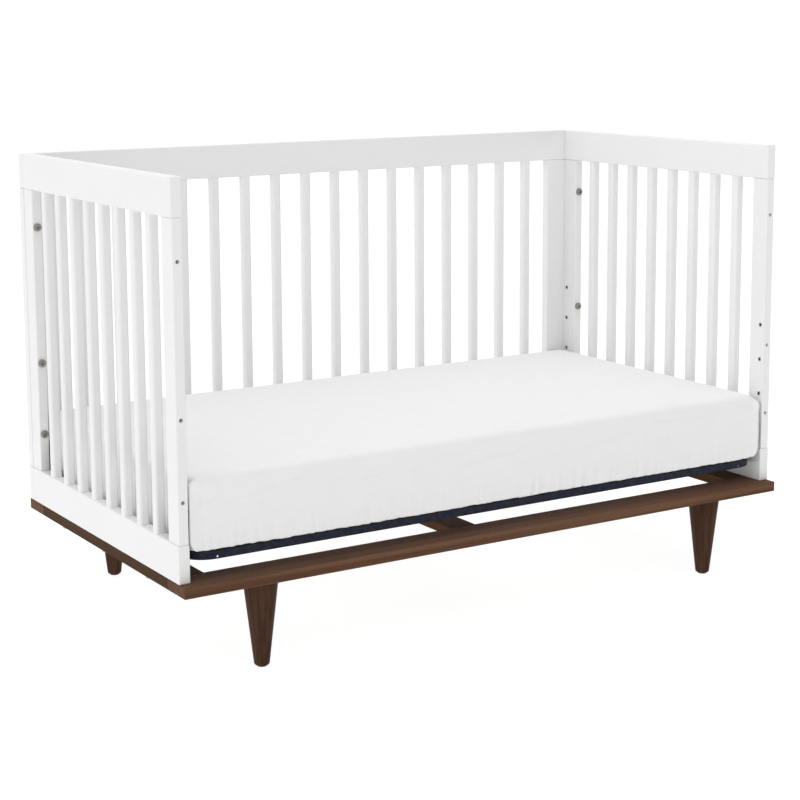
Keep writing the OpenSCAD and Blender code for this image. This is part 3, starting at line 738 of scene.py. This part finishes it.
# How hard the elastic gathers: its mean, its swing and the swing's waves in a metre
GATHER, GATHER_SWING, GATHER_PITCH = 0.6, 0.4, 3.1
LIP_ENDS, LIP_FACE = (0.012, 0.045), (0.0042, 0.0012)
HEM_RIPPLE, ELASTIC_RIPPLE = 0.0007, 0.0005
half = (sheet_high - sheet_low) / 2
centre = (sheet_high + sheet_low) / 2
half.x, half.y = half.x - SHEET_CLEAR, half.y - SHEET_CLEAR
drop = 2 * half.z

only(None)
bpy.ops.mesh.primitive_grid_add(
    x_subdivisions=SHEET_CELLS[0], y_subdivisions=SHEET_CELLS[1], size=2, location=(0, 0, 0))
sheet = bpy.context.object
sheet.name = sheet.data.name = "fitted_sheet_cotton"
bpy.ops.object.mode_set(mode="EDIT")
pick(sheet, "EDGE", lambda edge: len(edge.link_faces) == 1)
for row in range(SKIRT_ROWS + HEM_ROWS):
    bpy.ops.mesh.extrude_region_move(TRANSFORM_OT_translate={"value": (0, 0, -1)})
bpy.ops.object.mode_set(mode="OBJECT")


def closer(t, share):
    """Moves grid lines towards the panel's edges, where the cloth bends."""
    return t * (1 - share) + share * math.sin(math.pi / 2 * t)


def ease(value, low, high):
    t = min(max((value - low) / (high - low), 0.0), 1.0)
    return t * t * (3 - 2 * t)


def round_off(across, along, radius):
    """Turns the square corner between two faces into a round one of the given radius."""
    a, b = radius - across, radius - along
    if a <= 0 or b <= 0:
        return across, along
    scale = max(a, b) / math.hypot(a, b)
    return radius - a * scale, radius - b * scale


def cut_back(at, radius):
    """How far a round corner of this radius stands back, at a distance from its end."""
    return radius - math.sqrt(radius ** 2 - (radius - at) ** 2) if at < radius else 0.0


def wave(*place):
    return noise.noise(Vector(place))


def folds(sets, along, across):
    """Adds up sets of waves at one place."""
    return sum(height * wave(along * long, across * wide, seed) for height, long, wide, seed in sets)


for vertex in sheet.data.vertices:
    row = round(-vertex.co.z)
    plan = Vector([closer(vertex.co[k], CROWDED[k]) * half[k] for k in (0, 1)])
    # Outline of the panel with round corners: the direction out of it, and the way in from it
    inner = Vector((half.x - CORNER, half.y - CORNER))
    hub = Vector((min(max(plan.x, -inner.x), inner.x), min(max(plan.y, -inner.y), inner.y)))
    rest = plan - hub
    if abs(rest.x) > 1e-9 and abs(rest.y) > 1e-9:
        rest *= max(abs(rest.x), abs(rest.y)) / rest.length
        out, inset = rest.normalized(), CORNER - rest.length
    elif half.x - abs(plan.x) < half.y - abs(plan.y):
        out, inset = Vector((math.copysign(1, plan.x), 0)), half.x - abs(plan.x)
    else:
        out, inset = Vector((0, math.copysign(1, plan.y))), half.y - abs(plan.y)
    edge = hub + rest
    new_inset = 0.0
    under = 0.0
    if row == 0:
        new_inset, down = round_off(inset, 0.0, TOP_RIM)
        flat = edge - out * (new_inset - inset)
    elif row <= SKIRT_ROWS:
        t = row / SKIRT_ROWS
        down = drop * (EVEN_ROWS * t + (1 - EVEN_ROWS) * (1 - math.cos(math.pi * t)) / 2)
        new_inset, down = round_off(0.0, down, TOP_RIM) if down < drop / 2 else (0.0, down)
        back, up = round_off(0.0, drop - down, LOW_RIM)
        if up < LOW_RIM:
            new_inset, down = back, drop - up
        flat = edge - out * new_inset
    else:
        t = (row - SKIRT_ROWS) / HEM_ROWS
        under, down = HEM * t, drop
        tight = Vector([
            math.copysign(max(abs(hub[k]) - (2 * HEM - CORNER) * abs(hub[k]) / inner[k], 0), hub[k])
            for k in (0, 1)])
        target = tight + out * HEM if rest.length > 1e-9 else tight
        if abs(rest.x) < 1e-9:
            target = Vector((tight.x, math.copysign(half.y - HEM, plan.y)))
        elif abs(rest.y) < 1e-9:
            target = Vector((math.copysign(half.x - HEM, plan.x), tight.y))
        away, rise = round_off(under, 0.0, LOW_RIM)
        flat = edge.lerp(target, away / HEM)
        down = drop - rise
    side = ease(down, 0.002, TOP_RIM) * (1 - ease(under, 0.0, 0.006))
    around = flat.x + SIDE_PITCH * flat.y
    up_front = drop - down
    # Soft rolls on top, faint creases under the top edge, puckers that rise from the gathered hem
    swell = folds(ROLLS, flat.x, flat.y)
    lift = swell * (1 - ease(down, *ROLLS_END)) * ease(inset if row == 0 else 0.0, *ROLLS_EDGE)
    crease = sum(height * wave(around * long, down * wide + around * slant, seed)
                 for height, long, wide, slant, seed in CREASES)
    crease *= ease(down, *CREASES_START) * (1 - CREASES_LOSS * ease(down, *CREASES_FADE))
    gather = GATHER + GATHER_SWING * wave(around * GATHER_PITCH, 2.2, 9.1)
    pucker = folds(PUCKERS, around, down) * (1 - ease(up_front, *PUCKERS_END)) * gather
    shift = min(crease + pucker + folds(BELLY, around, down) - DRAWN_IN, SHEET_CLEAR) * side
    flat = flat + out * shift
    place = Vector((centre.x + flat.x, centre.y + flat.y, sheet_high.z - down + lift))
    # The lower front edge hangs a little over the support's front bar
    along_bar = ease(half.x - abs(flat.x), *LIP_ENDS)
    front = ease(-flat.y, half.y - LIP_FACE[0], half.y - LIP_FACE[1])
    place.z -= LIP_DROP * front * along_bar * (1 - ease(up_front, 0.0, 0.03))
    # The sewn corners stand out in front of the bolts as flat ears
    hand = -1 if plan.x < 0 else 1
    slope = math.degrees(math.atan2(abs(out.x), -out.y)) if out.y < -1e-6 else 90.0
    ear = math.exp(-((slope - EAR_ANGLE) / EAR_SPREAD) ** 2) * ease(down, 0.0, EAR_HIGH[hand])
    if ear > EAR_LEAST and 0 < row < SKIRT_ROWS and out.y < 0 and slope < EAR_END:
        reach = half.x + EAR_REACH[hand] - cut_back(up_front, EAR_LOW) - cut_back(down, EAR_HIGH[hand])
        place.x += ear * (hand * reach + centre.x - place.x)
        place.y += ear * (centre.y - half.y + EAR_INSET + new_inset + shift - place.y)
    if under > 0:
        place.z += HEM_RIPPLE * under / HEM * (1 + wave(around * 60, 1.0, 2.0))
    vertex.co = place
only(sheet)
bpy.ops.object.mode_set(mode="EDIT")
bpy.ops.mesh.select_all(action="SELECT")
bpy.ops.mesh.normals_make_consistent(inside=False)
pick(sheet, "EDGE", lambda edge: len(edge.link_faces) == 1)
bpy.ops.mesh.duplicate()
bpy.ops.mesh.separate(type="SELECTED")
bpy.ops.object.mode_set(mode="OBJECT")
elastic = next(obj for obj in bpy.context.selected_objects if obj is not sheet)
only(elastic)
elastic.name = "sheet_elastic_hem"
bpy.ops.object.convert(target="CURVE")
elastic.data.bevel_depth = ELASTIC
elastic.data.bevel_resolution = 2
bpy.ops.object.convert(target="MESH")
elastic.data.name = "sheet_elastic_hem"
for vertex in elastic.data.vertices:
    vertex.co.z += ELASTIC
    ridge = ELASTIC_RIPPLE * wave(vertex.co.x * 300, vertex.co.y * 300, 1.0)
    vertex.co.z += ridge * (vertex.co.z > sheet_low.z + 2 * ELASTIC)
for piece in (sheet, elastic):
    only(piece)
    bpy.ops.object.shade_smooth()
percale = cloth("white_percale", (0.845, 0.845, 0.845), (0.80, 0.80, 0.805), 2600.0, 0.35)
finish_piece(sheet, "mattress", ["fitted_sheet"], "white_sheet", percale)
elastic.data.materials.clear()
elastic.data.materials.append(percale)
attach(elastic, "mattress")

# ---------------------------------------------------------------------------------------------
# Studio. A pale floor that fades into a white surround, darker towards the right front, with one
# soft light overhead and a weaker one in front. The camera stands at an adult's distance.
# ---------------------------------------------------------------------------------------------
FLOOR_SIZE = 60
FLOOR_TONES = (0.29, 0.29, 0.29), (0.31, 0.31, 0.31)
FLOOR_GLOW = 0.86
RIGHTWARDS, FRONTWARDS = (0.927, -0.375), (0.50, -0.866)
# Where the surround's dimming starts and ends in each direction, and its brightness there
RIGHT_DIM, FRONT_DIM = (0.42, 0.88, 1.02, 0.30), (-0.1, 1.0, 1.0, 0.70)
WHITE = (1, 1, 1, 1)

only(None)
bpy.ops.mesh.primitive_plane_add(size=FLOOR_SIZE, location=(0, 0, 0))
floor = bpy.context.object
floor.name = "studio_floor"
floor_paint, n, shader = new_material("pale_floor", 0.95, Specular_IOR_Level=0.0)
spots = n.mottle(n.object_place(), 2.0)
n.link(n.mix(spots, *FLOOR_TONES), shader.inputs["Base Color"])
shader.inputs["Emission Color"].default_value = WHITE
shader.inputs["Emission Strength"].default_value = FLOOR_GLOW
floor.data.materials.append(floor_paint)

world = bpy.data.worlds.new("white_surround")
bpy.context.scene.world = world
world.use_nodes = True
n = Nodes(world.node_tree)
towards = n.add("ShaderNodeSeparateXYZ", {0: n.add("ShaderNodeTexCoord").outputs["Generated"]}).outputs
right, front = [n.math("ADD", n.math("MULTIPLY", towards[0], x), n.math("MULTIPLY", towards[1], y))
                for x, y in (RIGHTWARDS, FRONTWARDS)]
dimmer = n.math("MULTIPLY", n.ramp(right, *RIGHT_DIM), n.ramp(front, *FRONT_DIM))
surround = world.node_tree.nodes["Background"]
surround.inputs["Color"].default_value = WHITE
n.link(dimmer, surround.inputs["Strength"])


def soft_light(name, place, size, power):
    """A square light that is turned to the middle of the crib."""
    lamp = bpy.data.lights.new(name, "AREA")
    lamp.shape, lamp.size, lamp.energy = "SQUARE", size, power
    holder = bpy.data.objects.new(name, lamp)
    bpy.context.collection.objects.link(holder)
    holder.location = place
    holder.rotation_mode = "QUATERNION"
    holder.rotation_quaternion = (LIGHT_AIM - Vector(place)).to_track_quat("-Z", "Y")


LIGHT_AIM = Vector((0, 0, 0.3))
soft_light("front_top", (-1.0, -2.2, 3.9), 2.4, 14)
soft_light("overhead", (-0.2, 0.1, 4.2), 2.8, 26)

CAMERA_PLACE = (-2.0114, -3.1938, 1.1536)
CAMERA_YAW, CAMERA_PITCH, CAMERA_ROLL = 31.9916, -8.6679, -0.3015
CAMERA_LENS, CAMERA_SENSOR = 82.764, 36
CAMERA_RISE = -0.12
eye = bpy.data.objects.new("camera", bpy.data.cameras.new("camera"))
bpy.context.collection.objects.link(eye)
eye.matrix_world = (Matrix.Translation(CAMERA_PLACE)
                    @ Matrix.Rotation(-math.radians(CAMERA_YAW), 4, "Z")
                    @ Matrix.Rotation(math.radians(90 + CAMERA_PITCH), 4, "X")
                    @ Matrix.Rotation(math.radians(CAMERA_ROLL), 4, "Z"))
eye.data.lens, eye.data.sensor_width = CAMERA_LENS, CAMERA_SENSOR
eye.data.shift_y = CAMERA_RISE
eye.data.clip_end = FLOOR_SIZE
bpy.context.scene.camera = eye
bpy.context.scene.view_settings.view_transform = "Standard"
